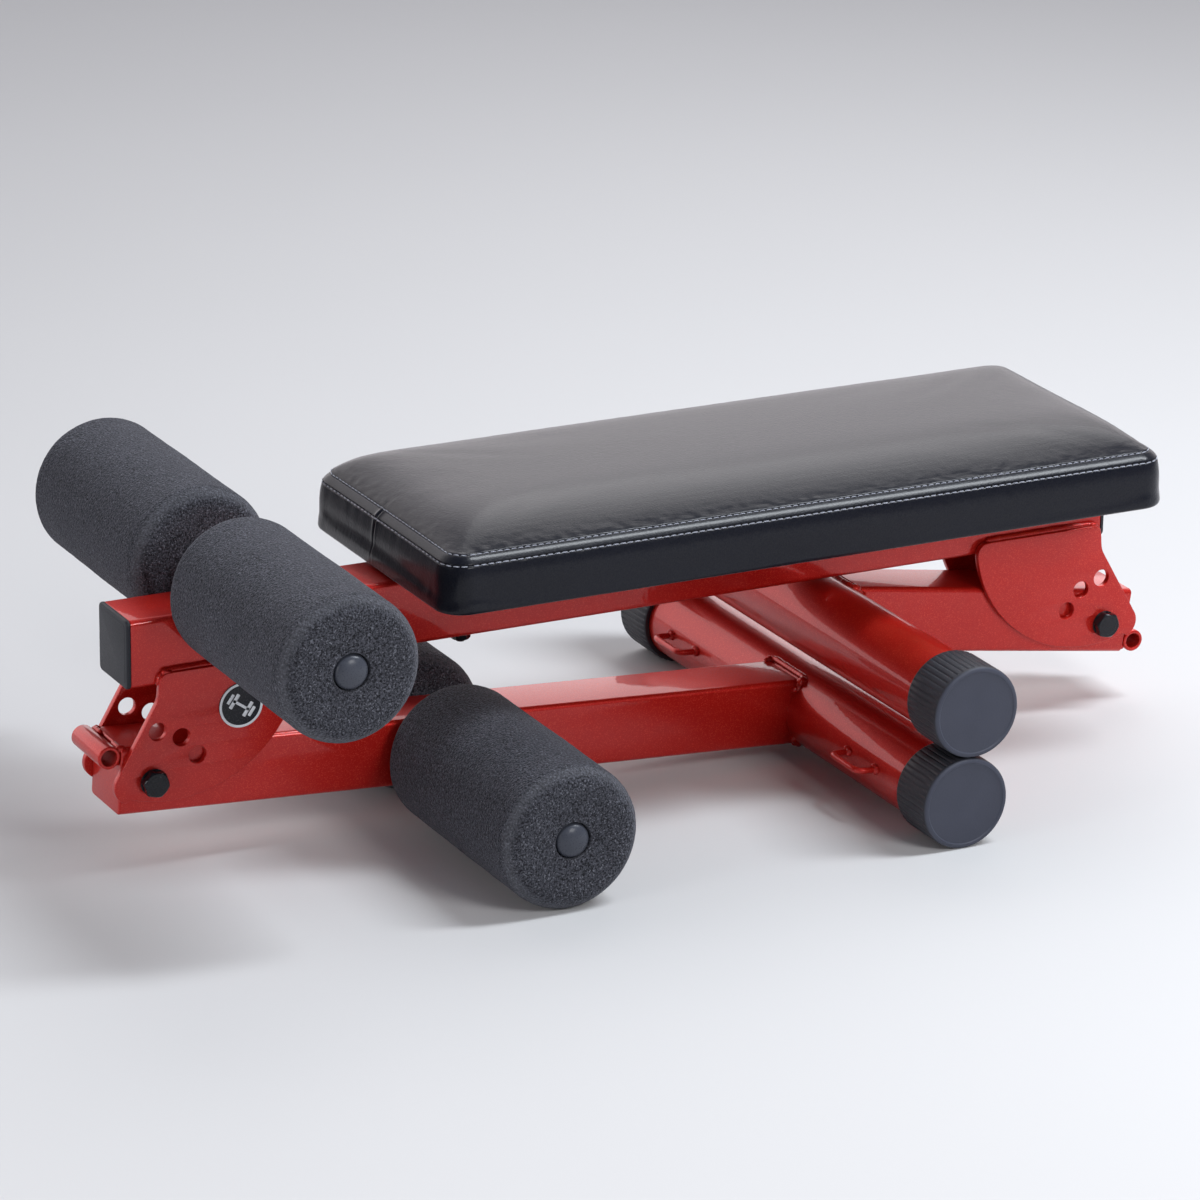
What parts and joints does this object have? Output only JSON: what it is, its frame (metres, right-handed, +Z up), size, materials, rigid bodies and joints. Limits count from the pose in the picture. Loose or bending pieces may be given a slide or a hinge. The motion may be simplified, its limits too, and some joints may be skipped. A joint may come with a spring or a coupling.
{
  "type": "roman chair",
  "caption": "Folding roman chair for sit-ups: a padded square rail with foam leg rollers and pin-locked folding legs on capped cross feet, folded flat.",
  "frame": {"origin": "on the floor, midway between the two leg pivots and on the centre line of the rail", "axes": "+X along the rail from the foam roller end to the pad end, +Y across to the right side, +Z up"},
  "size_m": [0.8679, 0.476, 0.2594],
  "materials": {
    "red_paint": "glossy metallic powder coat",
    "roller_foam": "matte closed-cell foam with a fine speckle",
    "foot_rubber": "matte ribbed",
    "black_plastic": "satin moulded",
    "pad_vinyl": "satin stitched vinyl",
    "plywood": "bare sanded",
    "zinc_steel": "zinc plated",
    "black_steel": "black oxide, semi-gloss",
    "badge_metal": "satin disc"
  },
  "bodies": {
    "bench": {"main_rail": "red_paint", "rail_end_cap_rear": "black_plastic", "rail_end_cap_front": "black_plastic", "front_bracket_left": "red_paint", "front_bracket_right": "red_paint", "front_pivot_bolt": "black_steel", "front_pivot_nut": "black_steel", "rear_bracket_left": "red_paint", "rear_bracket_right": "red_paint", "rear_pivot_bolt": "black_steel", "rear_pivot_nut": "black_steel", "bracket_badge": "badge_metal", "knee_axle_hub": "red_paint", "knee_axle": "zinc_steel", "knee_axle_plug_left": "black_plastic", "knee_axle_plug_right": "black_plastic", "pad": "pad_vinyl", "pad_board": "plywood", "pad_bolt_front": "black_steel", "pad_washer_front": "black_steel", "pad_nut_front": "black_steel", "pad_bolt_rear": "black_steel", "pad_washer_rear": "black_steel", "pad_nut_rear": "black_steel"},
    "front_leg": {"front_leg": "red_paint", "front_leg_end_plate": "red_paint", "front_pivot_bushing": "zinc_steel", "front_lock_sleeve": "red_paint", "front_foot_tube": "red_paint", "front_foot_cap_left": "foot_rubber", "front_foot_cap_right": "foot_rubber", "band_hook_left": "red_paint", "band_hook_right": "red_paint", "ankle_axle_hub": "red_paint", "ankle_axle": "zinc_steel", "ankle_axle_plug_left": "black_plastic", "ankle_axle_plug_right": "black_plastic"},
    "rear_leg": {"rear_leg": "red_paint", "rear_leg_end_plate": "red_paint", "rear_pivot_bushing": "zinc_steel", "rear_lock_sleeve": "red_paint", "rear_foot_tube": "red_paint", "rear_foot_cap_left": "foot_rubber", "rear_foot_cap_right": "foot_rubber"},
    "knee_roller_left": {"knee_roller_left": "roller_foam"},
    "knee_roller_right": {"knee_roller_right": "roller_foam"},
    "ankle_roller_left": {"ankle_roller_left": "roller_foam"},
    "ankle_roller_right": {"ankle_roller_right": "roller_foam"}
  },
  "joints": [
    {"name": "front_leg_fold", "type": "hinge", "parent": "bench", "child": "front_leg", "pos_m": [-0.3945, 0, 0.06875], "axis": [0, 1, 0], "range_deg": [0, 122]},
    {"name": "rear_leg_fold", "type": "hinge", "parent": "bench", "child": "rear_leg", "pos_m": [0.3945, 0, 0.06875], "axis": [0, -1, 0], "range_deg": [0, 190]},
    {"name": "knee_roller_left_spin", "type": "hinge", "parent": "bench", "child": "knee_roller_left", "pos_m": [-0.3294, 0, 0.20535], "axis": [0, 1, 0], "continuous": true},
    {"name": "knee_roller_right_spin", "type": "hinge", "parent": "bench", "child": "knee_roller_right", "pos_m": [-0.3294, 0, 0.20535], "axis": [0, 1, 0], "continuous": true},
    {"name": "ankle_roller_left_spin", "type": "hinge", "parent": "front_leg", "child": "ankle_roller_left", "pos_m": [-0.15982, 0, 0.054], "axis": [0, 1, 0], "continuous": true},
    {"name": "ankle_roller_right_spin", "type": "hinge", "parent": "front_leg", "child": "ankle_roller_right", "pos_m": [-0.15982, 0, 0.054], "axis": [0, 1, 0], "continuous": true}
  ],
  "couplings": [
    {"joint": "rear_leg_fold", "follows": "front_leg_fold", "ratio": 1.557}
  ]
}
